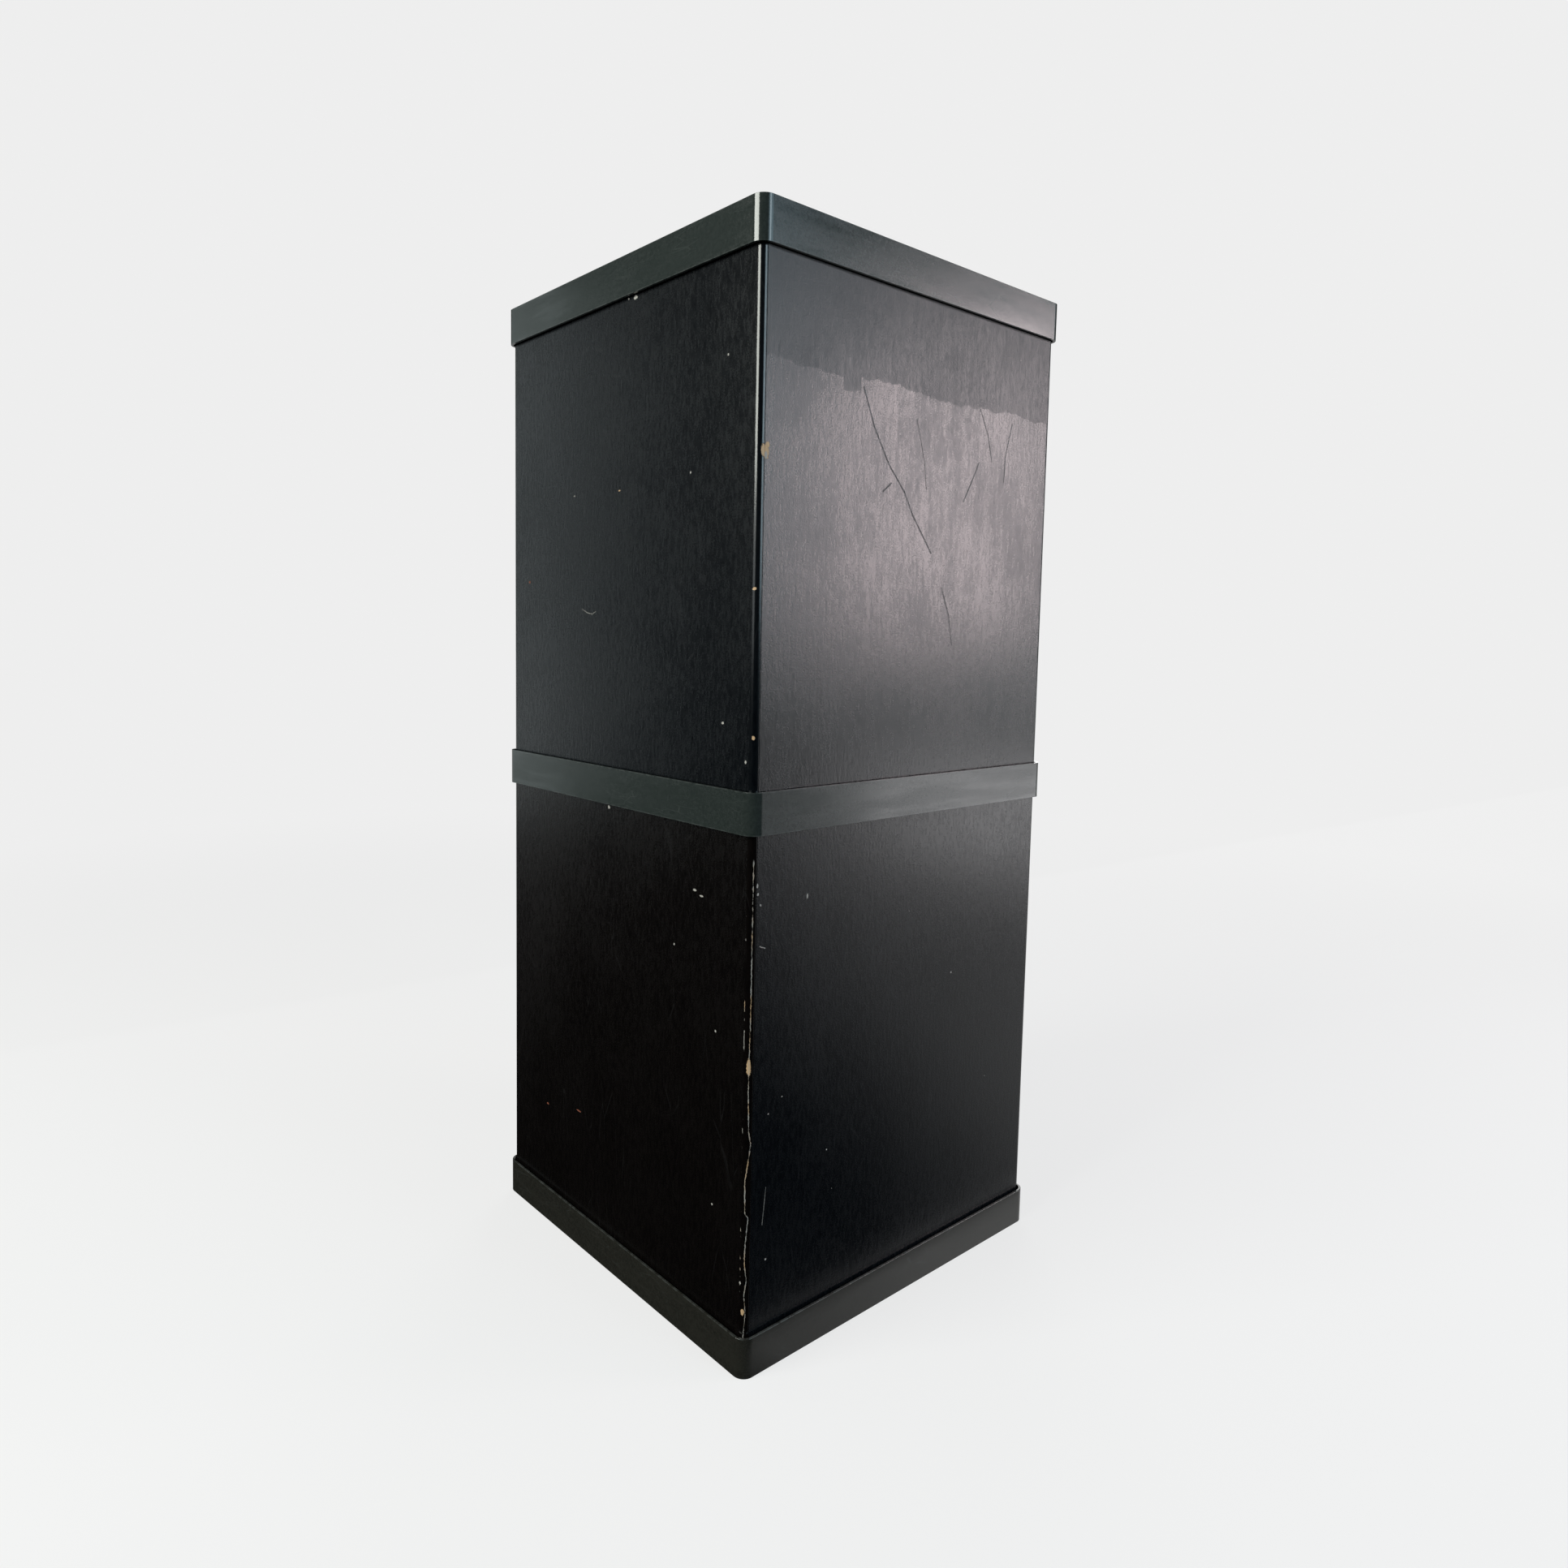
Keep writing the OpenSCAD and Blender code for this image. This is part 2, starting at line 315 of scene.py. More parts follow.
class SharedEffects:
    """The effects that more than one finish uses, each built once as a node group."""

    pebbles = 880.0
    clouds = 14.0
    #: how far a hairline wanders, in metres
    wander = 0.012

    def __init__(self) -> None:
        """Builds every group."""
        self.grain = self.build_grain()
        self.specks = self.build_specks()
        self.spot = self.build_spot()
        self.stroke = self.build_stroke()
        self.hairlines = self.build_hairlines()
        self.rub = self.build_rub()

    def build_grain(self) -> NodeTree:
        """Builds the fine texture of a pressed or moulded surface.

        Returns:
            The group: a height, a fine value and a broad, cloudy value.
        """
        sheet, given, out = start_group("surface_grain", [("Stretch", VECTOR)],
                                        ("Height", "Fine", "Cloud"))
        place = given["Place"]
        streak = sheet.noise(sheet.stretch(place, given["Stretch"]), 1.0, 3.0, 0.62)
        pebble = sheet.noise(place, self.pebbles, 2.0, 0.55)
        cloud = sheet.noise(place, self.clouds, 4.0, 0.58)
        height = sheet.add(sheet.mul(streak, 0.55), sheet.mul(pebble, 0.45))
        sheet.feed(out["Height"], height)
        sheet.feed(out["Fine"], sheet.ramp(height, 0.34, 0.66))
        sheet.feed(out["Cloud"], sheet.ramp(cloud, 0.3, 0.7))
        return sheet.tree

    def build_specks(self) -> NodeTree:
        """Builds scattered small dots of dust or lint.

        Returns:
            The group: a mask.
        """
        sheet, given, out = start_group("scattered_specks",
                                        [("Cells", FLOAT), ("Size", FLOAT), ("Share", FLOAT)])
        cells = sheet.node("ShaderNodeTexVoronoi", feature="F1")
        sheet.feed(cells.inputs["Vector"], given["Place"])
        sheet.feed(cells.inputs["Scale"], given["Cells"])
        near = sheet.math("LESS_THAN", cells.outputs["Distance"], given["Size"])
        chosen = sheet.math("LESS_THAN", sheet.split(cells.outputs["Color"])[0], given["Share"])
        sheet.feed(out["Mask"], sheet.mul(near, chosen))
        return sheet.tree

    def build_spot(self) -> NodeTree:
        """Builds one ragged spot at a place.

        Returns:
            The group: a mask.
        """
        sheet, given, out = start_group("placed_spot",
                                        [("Centre", VECTOR), ("Radii", VECTOR), ("Ragged", FLOAT)])
        away = sheet.vector("SUBTRACT", given["Place"], given["Centre"]).outputs[0]
        share = sheet.vector("DIVIDE", away, given["Radii"]).outputs[0]
        reach = sheet.vector("LENGTH", share).outputs["Value"]
        rough = sheet.sub(sheet.noise(given["Place"], 900.0, 3.0, 0.7), 0.5)
        torn = sheet.add(reach, sheet.mul(rough, given["Ragged"]))
        sheet.feed(out["Mask"], sheet.ramp(torn, 1.0, 0.8))
        return sheet.tree

    def build_stroke(self) -> NodeTree:
        """Builds a straight scratch between two places, with faded sides.

        Returns:
            The group: a mask.
        """
        sheet, given, out = start_group("placed_stroke",
                                        [("From", VECTOR), ("To", VECTOR), ("Width", FLOAT)])
        run = sheet.vector("SUBTRACT", given["To"], given["From"]).outputs[0]
        away = sheet.vector("SUBTRACT", given["Place"], given["From"]).outputs[0]
        along = sheet.math("DIVIDE", sheet.vector("DOT_PRODUCT", away, run).outputs["Value"],
                           sheet.vector("DOT_PRODUCT", run, run).outputs["Value"], clamp=True)
        scaled = sheet.node("ShaderNodeVectorMath", operation="SCALE")
        sheet.feed(scaled.inputs[0], run)
        sheet.feed(scaled.inputs["Scale"], along)
        gap = sheet.vector("LENGTH", sheet.vector("SUBTRACT", away, scaled.outputs[0]).outputs[0])
        share = sheet.math("DIVIDE", gap.outputs["Value"], given["Width"])
        sheet.feed(out["Mask"], sheet.ramp(share, 1.0, 0.35))
        return sheet.tree

    def build_hairlines(self) -> NodeTree:
        """Builds sparse fine scuff lines, slightly curved, in patches.

        Returns:
            The group: a mask.
        """
        sheet, given, out = start_group(
            "hair_scuffs", [("Stretch", VECTOR), ("Fineness", FLOAT), ("Patches", FLOAT)])
        place = given["Place"]
        bend = sheet.node("ShaderNodeTexNoise")
        sheet.feed(bend.inputs["Vector"], place)
        bend.inputs["Scale"].default_value = 9.0
        bent = sheet.vector("MULTIPLY_ADD", bend.outputs["Color"], (self.wander,) * 3, place)
        cells = sheet.node("ShaderNodeTexVoronoi", feature="DISTANCE_TO_EDGE")
        sheet.feed(cells.inputs["Vector"], sheet.stretch(bent.outputs[0], given["Stretch"]))
        cells.inputs["Scale"].default_value = 1.0
        line = sheet.math("LESS_THAN", cells.outputs["Distance"], given["Fineness"])
        patch = sheet.ramp(sheet.noise(place, 22.0, 2.0), given["Patches"],
                           sheet.add(given["Patches"], 0.12))
        sheet.feed(out["Mask"], sheet.mul(line, patch))
        return sheet.tree

    def build_rub(self) -> NodeTree:
        """Builds the worn line of a level edge, at a height, broken up along its length.

        Returns:
            The group: a mask.
        """
        sheet, given, out = start_group("edge_rub",
                                        [("Level", FLOAT), ("Reach", FLOAT), ("Wear", FLOAT)])
        gap = sheet.math("ABSOLUTE", sheet.sub(sheet.split(given["Place"])[2], given["Level"]))
        near = sheet.ramp(sheet.math("DIVIDE", gap, given["Reach"]), 1.0, 0.3)
        torn = sheet.ramp(sheet.noise(given["Place"], 160.0, 4.0, 0.65), 0.62, 0.4)
        kept = sheet.math("MULTIPLY", sheet.mul(near, torn), given["Wear"], clamp=True)
        sheet.feed(out["Mask"], kept)
        return sheet.tree


# ---------------------------------------------------------------- marks


@dataclass(frozen=True)
class Mark:
    """A small mark on the skin of one panel, in millimetres of the shared frame."""

    place: Point
    size: Point
    kind: MarkKind


@dataclass(frozen=True)
class Scratch:
    """A scratch through a few places, in millimetres of the shared frame."""

    places: tuple[Point, ...]
    width: float
    pale: bool


FACE_MM = 166.0
DEPTH_MM = 2.0


def metres(place: Point) -> Point:
    """Returns a place given in millimetres, in metres."""
    return tuple(value * MM for value in place)


def on_front(x: float, z: float) -> Point:
    """Returns a place on the front skin, in millimetres."""
    return (x, -FACE_MM, z)


def on_left(y: float, z: float) -> Point:
    """Returns a place on the left skin, in millimetres."""
    return (-FACE_MM, y, z)


def front_marks(kind: MarkKind, *rows: tuple[float, ...]) -> list[Mark]:
    """Returns marks on the front skin, from rows of X, Z, half width and half height."""
    return [Mark(on_front(x, z), (wide, DEPTH_MM, tall), kind) for x, z, wide, tall in rows]


def left_marks(kind: MarkKind, *rows: tuple[float, ...]) -> list[Mark]:
    """Returns marks on the left skin, from rows of Y, Z, half width and half height."""
    return [Mark(on_left(y, z), (DEPTH_MM, wide, tall), kind) for y, z, wide, tall in rows]


def corner_marks(kind: MarkKind, *rows: tuple[float, ...]) -> list[Mark]:
    """Returns marks round the near corner, from rows of three places and three half sizes."""
    return [Mark(row[:3], row[3:], kind) for row in rows]


def scratch(on: Callable[[float, float], Point], width: float, *turns: tuple[float, float],
            pale: bool = False) -> Scratch:
    """Returns a scratch on one skin.

    Args:
        on: the function that places a point on the skin.
        width: how far it fades out to each side, in millimetres.
        turns: the two coordinates of each turn.
        pale: whether it shows as a pale line instead of a dark one.
    """
    return Scratch(tuple(on(*turn) for turn in turns), width, pale)


TAN, PALE, RED = MarkKind.TAN_CHIP, MarkKind.PALE_SPECK, MarkKind.RED_RUB

UPPER_LEFT_MARKS = (
    *left_marks(PALE, (-23, 778, 2.6, 1.6), (-14, 779, 1.2, 0.9), (-93, 641, 1.0, 0.8),
                (-133, 715, 0.9, 0.9), (63, 639, 1.3, 0.5), (-133, 465, 1.5, 1.1),
                (-158, 440, 1.0, 1.4)),
    *left_marks(TAN, (-3, 637, 1.3, 0.6)),
    *left_marks(RED, (137, 571, 1.4, 1.2)),
    *corner_marks(TAN, (-165.5, -163.4, 557, 1.2, 1.6, 1.2), (-165.2, -164.6, 457, 1.2, 1.4, 1.6),
                  (-161.8, -FACE_MM, 648, 2.1, DEPTH_MM, 4.4)),
)
UPPER_LEFT_SCRATCHES = (
    scratch(on_left, 0.45, (50, 546), (42, 543), (35, 542), (30, 544), pale=True),
)
UPPER_FRONT_MARKS = (
    *front_marks(TAN, (-159.6, 647, 2.6, 5.2), (-158.4, 652, 1.8, 2.2)),
    *front_marks(PALE, (-159.7, 645, 1.3, 2.6)),
)
UPPER_FRONT_SCRATCHES = (
    scratch(on_front, 0.7, (-67, 704), (-55, 678), (-38, 653), (-20, 635), (-10, 619), (13, 592)),
    scratch(on_front, 0.6, (27, 566), (37, 545), (42, 521)),
    scratch(on_front, 0.5, (69, 709), (80, 690), (86, 670)),
    scratch(on_front, 0.7, (-44, 633), (-35, 640)),
    scratch(on_front, 0.6, (51, 635), (60, 650), (69, 667)),
    scratch(on_front, 0.4, (-8, 690), (2, 660), (5, 640)),
    scratch(on_front, 0.5, (112, 704), (104, 676), (103, 655)),
)
LOWER_LEFT_MARKS = (
    *left_marks(PALE, (9, 387, 1.6, 1.4), (-104, 341, 2.1, 1.0), (-112, 338, 2.2, 0.8),
                (-80, 295, 1.0, 1.0), (-130, 243, 1.0, 1.0), (-129, 113, 0.9, 0.9)),
    *left_marks(RED, (53, 117, 4.0, 0.7), (105, 105, 2.0, 0.9)),
    *corner_marks(TAN, (-164.4, -164.9, 227, 1.7, 1.7, 6.5), (-165.2, -163.8, 48, 1.4, 1.6, 2.6)),
    *corner_marks(PALE, (-166, -161.6, 69, 1.0, 0.9, 1.0)),
)
LOWER_FRONT_MARKS = tuple(front_marks(
    PALE, (-160.2, 355, 0.8, 1.6), (-159.6, 349, 0.9, 1.2), (-157, 341, 0.8, 0.8),
    (-112, 341, 0.8, 2.0), (-133, 198, 0.62, 0.62), (-146, 189, 0.6, 0.65),
    (-86, 144, 0.62, 0.62), (56, 252, 0.8, 0.8), (-146, 81, 0.9, 0.9)))
LOWER_FRONT_SCRATCHES = (
    scratch(on_front, 0.5, (-157, 312), (-152, 310), pale=True),
    scratch(on_front, 0.35, (-150, 108), (-147, 135), pale=True),
)


# ---------------------------------------------------------------- finishes


class Skin(Sheet):
    """The sheet of one material, with the place on its surface and the shared groups."""

    def __init__(self, tree: NodeTree, effects: SharedEffects) -> None:
        """Takes the tree to work in and the groups to draw on.

        Args:
            tree: the material's node tree.
            effects: the shared node groups.
        """
        super().__init__(tree)
        self.effects = effects
        self.at = self.place()

    def grain(self, *pull: float) -> tuple[Socket, ...]:
        """Returns the height, the fine value and the cloudy value of a pulled grain."""
        return tuple(self.use(self.effects.grain, Place=self.at, Stretch=pull).outputs)

    def mask(self, group: NodeTree, **values: object) -> Socket:
        """Places a shared group on this surface and returns its mask."""
        return self.use(group, Place=self.at, **values).outputs[0]


@dataclass(frozen=True)
class Layers:
    """What a finish feeds to its shader."""

    colour: Socket
    rough: Socket
    height: Socket
    #: the depth of a full step of the height, in metres
    depth: float


class Finish:
    """A surface that is built as a material with one Principled shader."""

    specular = 0.5
    metallic = 0.0

    def layers(self, skin: Skin) -> Layers:
        """Builds what the shader reads, which each finish does in its own way.

        Args:
            skin: the material's skin.

        Returns:
            The layers.
        """
        raise NotImplementedError

    def build(self, name: str, effects: SharedEffects) -> Material:
        """Builds the material.

        Args:
            name: the material's name.
            effects: the shared node groups.

        Returns:
            The material.
        """
        made = bpy.data.materials.new(name)
        made.use_nodes = True
        shader = next(n for n in made.node_tree.nodes if n.type == "BSDF_PRINCIPLED")
        skin = Skin(made.node_tree, effects)
        layers = self.layers(skin)
        skin.feed(shader.inputs["Base Color"], layers.colour)
        skin.feed(shader.inputs["Roughness"], layers.rough)
        shader.inputs["Specular IOR Level"].default_value = self.specular
        shader.inputs["Metallic"].default_value = self.metallic
        bump = skin.node("ShaderNodeBump")
        bump.inputs["Strength"].default_value = 1.0
        bump.inputs["Distance"].default_value = layers.depth
        skin.feed(bump.inputs["Height"], layers.height)
        skin.feed(shader.inputs["Normal"], bump.outputs["Normal"])
        return made


@dataclass(frozen=True)
class Burnish:
    """The smoother skin of the four upright rounded edges, as handling leaves it."""

    #: the sums of the distances along X and Y where it begins and where it is full
    start: float
    end: float
    smooth: float

    def build(self, skin: Skin, rough: Socket) -> tuple[Socket, Socket]:
        """Lays it over a roughness.

        Args:
            skin: the material's skin.
            rough: the roughness so far.

        Returns:
            The new roughness, and how much each place is burnished.
        """
        x, y, _ = skin.split(skin.at)
        reach = skin.add(skin.math("ABSOLUTE", x), skin.math("ABSOLUTE", y))
        edge = skin.ramp(reach, self.start, self.end)
        return skin.scale_add(edge, skin.sub(self.smooth, rough), rough), edge


@dataclass(frozen=True)
class WornEdge:
    """The broken skin along the rounded edge of the nearest corner, in millimetres."""

    corner: float = FACE_MM
    reach: float = 12.0
    half_width: float = 0.42
    #: how far the turns may lie to either side
    span: float = 5.0
    #: where the second, broken line runs beside the first
    second: float = -4.6
    #: the height of each turn and how far it lies round the edge
    turns: tuple[tuple[float, float], ...] = (
        (30, -0.5), (48, 1.4), (60, -0.4), (72, 1.8), (84, -0.4), (92, -0.4), (106, 1.1),
        (118, 2.6), (121, -0.9), (145, -1.3), (156, 1.0), (171, 3.8), (181, 1.6), (207, 0.6),
        (232, 0.8), (262, 1.6), (321, 1.7), (374, 1.9))

    def wanted(self, skin: Skin, height: Socket) -> Socket:
        """Builds where the line lies round the edge at each height.

        Args:
            skin: the material's skin.
            height: the height in millimetres.

        Returns:
            The distance round the edge, in millimetres.
        """
        bottom, top = self.turns[0][0], self.turns[-1][0]
        spots = [((at - bottom) / (top - bottom), (side + self.span) / (2 * self.span))
                 for at, side in self.turns]
        curve = skin.node("ShaderNodeFloatCurve")
        line = curve.mapping.curves[0]
        line.points[0].location, line.points[1].location = spots[0], spots[-1]
        for spot in spots[1:-1]:
            line.points.new(*spot)
        for point in line.points:
            point.handle_type = "VECTOR"
        curve.mapping.update()
        skin.feed(curve.inputs["Value"],
                   skin.math("DIVIDE", skin.sub(height, bottom), top - bottom, clamp=True))
        return skin.scale_add(curve.outputs[0], 2 * self.span, -self.span)

    def build(self, skin: Skin) -> Socket:
        """Builds the mask of the broken line and the flaws beside it.

        Args:
            skin: the material's skin.

        Returns:
            The mask.
        """
        x, y, z = skin.split(skin.at)
        height = skin.mul(z, 1 / MM)
        jitter = skin.noise(skin.at, 420.0, 3.0, 0.7)
        wanted = skin.add(self.wanted(skin, height), skin.mul(skin.sub(jitter, 0.5), 1.6))
        side = skin.mul(skin.sub(x, y), 1 / MM)
        gap = skin.math("ABSOLUTE", skin.sub(side, wanted))
        width = skin.ramp(skin.noise(skin.at, 240.0, 2.0), 0.35, 0.7, 0.18, self.half_width + 0.35)
        first = skin.ramp(skin.math("DIVIDE", gap, width), 1.0, 0.6)
        first = skin.mul(first, skin.ramp(skin.noise(skin.at, 120.0, 3.0, 0.7), 0.36, 0.48))
        second = skin.math("ABSOLUTE", skin.sub(side, self.second))
        second = skin.ramp(skin.add(second, skin.mul(jitter, 1.2)), 1.1, 0.75)
        breaks = skin.ramp(skin.noise(skin.at, 62.0, 3.0, 0.75), 0.54, 0.6)
        both = skin.math("MAXIMUM", first, skin.mul(second, breaks))
        near = skin.add(skin.math("ABSOLUTE", x), skin.math("ABSOLUTE", y))
        near = skin.math("GREATER_THAN", near, (2 * self.corner - self.reach) * MM)
        both = skin.mul(both, skin.mul(near, skin.math("LESS_THAN", y, 0.0)))
        top = self.turns[-1][0]
        return skin.mul(both, skin.ramp(height, top, top - 3))


@dataclass(frozen=True)
class ScuffAndSheen:
    """A paler area below a nearly level, wavy line, partly scuffed foil and partly a painted sheen,
    fading towards the bottom, with bluish satin foil above it.
    """

    line: float = 0.711
    wave: float = 0.022
    soft: float = 0.0016
    notch_from: float = -0.088
    notch_to: float = -0.070
    notch_depth: float = 0.010
    strength: float = 0.80
    roughness: float = 0.15
    satin: float = 0.20
    fade_to: float = 0.430
    # colour is the paler tone below the line: dust, and also a painted sheen where the highlight
    # falls
    colour: RGB = (0.0300, 0.0298, 0.0320)
    clean: RGB = (0.0012, 0.0062, 0.0085)

    def build(self, skin: Skin) -> tuple[Socket, Socket]:
        """Builds the masks of the paler area, partly scuff and partly painted sheen, and of the
        foil above its line.

        Args:
            skin: the material's skin.

        Returns:
            The two masks.
        """
        x, _, z = skin.split(skin.at)
        wave = skin.sub(skin.noise(skin.at, 26.0, 4.0, 0.6), 0.5)
        level = skin.scale_add(wave, self.wave, self.line)
        inside = skin.mul(skin.math("GREATER_THAN", x, self.notch_from),
                           skin.math("LESS_THAN", x, self.notch_to))
        level = skin.sub(level, skin.mul(inside, self.notch_depth))
        below = skin.ramp(skin.sub(level, z), 0.0, self.soft)
        _, fine, cloud = skin.grain(270.0, 270.0, 20.0)
        pulled = skin.stretch(skin.at, (75.0, 75.0, 11.0))
        wiped = skin.ramp(skin.noise(pulled, 1.0, 4.0, 0.62), 0.34, 0.56, 0.45, 1.0)
        patchy = skin.mul(skin.scale_add(fine, 0.55, 0.45), wiped)
        kept = skin.mul(below, skin.mul(patchy, skin.scale_add(cloud, 0.35, 0.65)))
        kept = skin.mul(kept, skin.ramp(z, self.fade_to, self.line - 0.1, 0.25, 1.0))
        return kept, skin.mul(skin.sub(1.0, below), skin.scale_add(fine, 0.30, 0.70))


@dataclass(frozen=True)
class FoilFinish(Finish):
    """Black foil pressed on board, with a fine leathery grain and small marks."""

    deep: RGB = (0.0007, 0.0012, 0.0020)
    pale: RGB = (0.0026, 0.0036, 0.0048)
    bare: RGB = (0.42, 0.28, 0.155)
    dust: RGB = (0.30, 0.29, 0.27)
    rub: RGB = (0.16, 0.045, 0.022)
    scuff: RGB = (0.055, 0.055, 0.058)
    smooth: float = 0.19
    specular: float = 0.42
    grain_depth: float = 0.00019
    edge: Burnish = Burnish(0.3268, 0.3285, 0.16)
    #: how deep marks and scratches lie, beside the grain
    dent: float = 0.7
    cloud_share: float = 0.35
    hair_share: float = 0.06
    speck_share: float = 0.55
    scratch_share: float = 0.65
    worn_share: float = 0.8
    #: how much rougher a scratch, a mark and the worn edge are
    scratch_rough: float = 0.22
    mark_rough: float = 0.35
    worn_rough: float = 0.3
    marks: tuple[Mark, ...] = ()
    scratches: tuple[Scratch, ...] = ()
    haze: ScuffAndSheen | None = None
    worn: WornEdge | None = None

    def layers(self, skin: Skin) -> Layers:
        """Builds the foil of one panel or board. See Finish."""
        height, fine, cloud = skin.grain(420.0, 420.0, 130.0)
        colour = skin.blend(fine, self.deep, self.pale)
        colour = skin.coat(colour, cloud, self.cloud_share, self.pale)
        rough = skin.scale_add(fine, 0.10, self.smooth)
        rough = skin.scale_add(cloud, 0.05, rough)
        rough, edge = self.edge.build(skin, rough)
        height = skin.mul(height, skin.scale_add(edge, -0.75, 1.0))
        if self.haze is not None:
            mask, above = self.haze.build(skin)
            # The paler tone below the line is partly dust and partly a painted sheen.
            colour = skin.coat(colour, mask, self.haze.strength, self.haze.colour)
            colour = skin.coat(colour, above, self.haze.strength, self.haze.clean)
            rough = skin.scale_add(mask, self.haze.roughness, rough)
            rough = skin.scale_add(above, self.haze.satin, rough)
        hair = skin.mask(skin.effects.hairlines, Stretch=(70.0, 70.0, 12.0),
                          Fineness=0.012, Patches=0.52)
        colour = skin.coat(colour, hair, self.hair_share, self.scuff)
        specks = skin.mask(skin.effects.specks, Cells=75.0, Size=0.032, Share=0.10)
        colour = skin.coat(colour, specks, self.speck_share, self.dust)
        dents = []
        for run in self.scratches:
            for start, end in zip(run.places, run.places[1:]):
                line = skin.mask(skin.effects.stroke, From=metres(start),
                                  To=metres(end), Width=run.width * MM)
                broken = skin.ramp(skin.noise(skin.at, 260.0, 2.0), 0.38, 0.56, 0.55, 1.0)
                line = skin.mul(line, broken)
                colour = skin.coat(colour, line, self.scratch_share,
                                   self.dust if run.pale else self.deep)
                if not run.pale:
                    rough = skin.scale_add(line, self.scratch_rough, rough)
                dents.append(line)
        tones = {TAN: self.bare, PALE: self.dust, RED: self.rub}
        for mark in self.marks:
            spot = skin.mask(skin.effects.spot, Centre=metres(mark.place),
                              Radii=metres(mark.size), Ragged=1.1)
            colour = skin.blend(spot, colour, tones[mark.kind])
            rough = skin.scale_add(spot, self.mark_rough, rough)
            dents.append(spot)
        if self.worn is not None:
            line = self.worn.build(skin)
            fresh = skin.ramp(skin.noise(skin.at, 70.0, 2.0), 0.45, 0.7)
            tint = skin.blend(fresh, self.dust, self.bare)
            colour = skin.coat(colour, line, self.worn_share, tint)
            rough = skin.scale_add(line, self.worn_rough, rough)
            dents.append(line)
        if dents:
            deepest = reduce(lambda first, second: skin.math("MAXIMUM", first, second), dents)
            height = skin.sub(height, skin.mul(deepest, self.dent))
        return Layers(colour, rough, height, self.grain_depth)


@dataclass(frozen=True)
class BandFinish(Finish):
    """Satin grey-green moulded plastic, with rubbed lips and soft smears."""

    deep: RGB = (0.0125, 0.0170, 0.0160)
    pale: RGB = (0.0205, 0.0258, 0.0245)
    worn: RGB = (0.080, 0.088, 0.086)
    smooth: float = 0.23
    edge: Burnish = Burnish(0.3295, 0.3315, 0.13)
    hair_share: float = 0.12
    speck_share: float = 0.5
    rub_reach: float = 0.0011
    rub_wear: float = 0.32
    #: the levels of the two lips
    low: float = 0.0
    high: float = 0.0

    def layers(self, skin: Skin) -> Layers:
        """Builds the plastic of one band. See Finish."""
        height, fine, _ = skin.grain(420.0, 420.0, 420.0)
        smear = skin.noise(skin.stretch(skin.at, (9.0, 9.0, 90.0)), 1.0, 4.0, 0.6)
        colour = skin.blend(fine, self.deep, self.pale)
        colour = skin.blend(skin.ramp(smear, 0.42, 0.72, 0.0, 0.7), colour, self.pale)
        rough = skin.scale_add(fine, 0.04, self.smooth)
        rough = skin.scale_add(skin.ramp(smear, 0.42, 0.62), -0.07, rough)
        rough, _ = self.edge.build(skin, rough)
        for level in (self.low, self.high):
            rub = skin.mask(skin.effects.rub, Level=level, Reach=self.rub_reach,
                            Wear=self.rub_wear)
            colour = skin.blend(rub, colour, self.worn)
        hair = skin.mask(skin.effects.hairlines, Stretch=(26.0, 26.0, 160.0),
                          Fineness=0.014, Patches=0.5)
        colour = skin.coat(colour, hair, self.hair_share, self.worn)
        specks = skin.mask(skin.effects.specks, Cells=110.0, Size=0.035, Share=0.08)
        colour = skin.coat(colour, specks, self.speck_share, self.worn)
        broad = skin.noise(skin.stretch(skin.at, (16.0, 16.0, 30.0)), 1.0, 2.0)
        return Layers(colour, rough, skin.scale_add(broad, 3.0, skin.mul(height, 0.5)), 0.00006)


@dataclass(frozen=True)
class CoreFinish(Finish):
    """The cut edge of fibreboard, brown and fibrous."""

    dark: RGB = (0.120, 0.072, 0.036)
    light: RGB = (0.230, 0.150, 0.080)
    specular: float = 0.3

    def layers(self, skin: Skin) -> Layers:
        """Builds the cut edge. See Finish."""
        height, fine, _ = skin.grain(900.0, 900.0, 900.0)
        specks = skin.mask(skin.effects.specks, Cells=600.0, Size=0.25, Share=0.25)
        colour = skin.coat(skin.blend(fine, self.dark, self.light), specks, 0.4, self.dark)
        return Layers(colour, skin.scale_add(fine, 0.15, 0.75), height, 0.0002)


@dataclass(frozen=True)
class SoftwoodFinish(Finish):
    """Planed softwood with upright growth rings."""

    early: RGB = (0.56, 0.39, 0.21)
    late: RGB = (0.36, 0.205, 0.088)
    specular: float = 0.35

    def layers(self, skin: Skin) -> Layers:
        """Builds the wood. See Finish."""
        rings = skin.node("ShaderNodeTexWave", wave_type="RINGS", rings_direction="Z",
                           wave_profile="SAW")
        skin.feed(rings.inputs["Vector"], skin.stretch(skin.at, (1.0, 1.0, 0.04)))
        for name, value in (("Scale", 95.0), ("Distortion", 3.2), ("Detail", 3.0),
                            ("Detail Scale", 0.6)):
            rings.inputs[name].default_value = value
        _, fine, _ = skin.grain(1500.0, 1500.0, 60.0)
        tone = skin.scale_add(fine, 0.35, skin.mul(rings.outputs["Fac"], 0.65))
        return Layers(skin.blend(tone, self.early, self.late),
                      skin.scale_add(tone, 0.15, 0.5), tone, 0.00012)


@dataclass(frozen=True)
class ZincFinish(Finish):
    """Bright zinc plating with a faint mottle."""

    bright: RGB = (0.66, 0.66, 0.64)
    dull: RGB = (0.42, 0.43, 0.44)
    metallic: float = 1.0

    def layers(self, skin: Skin) -> Layers:
        """Builds the plating. See Finish."""
        height, fine, _ = skin.grain(800.0, 800.0, 800.0)
        return Layers(skin.blend(fine, self.bright, self.dull),
                      skin.scale_add(fine, 0.18, 0.26), height, 0.00004)


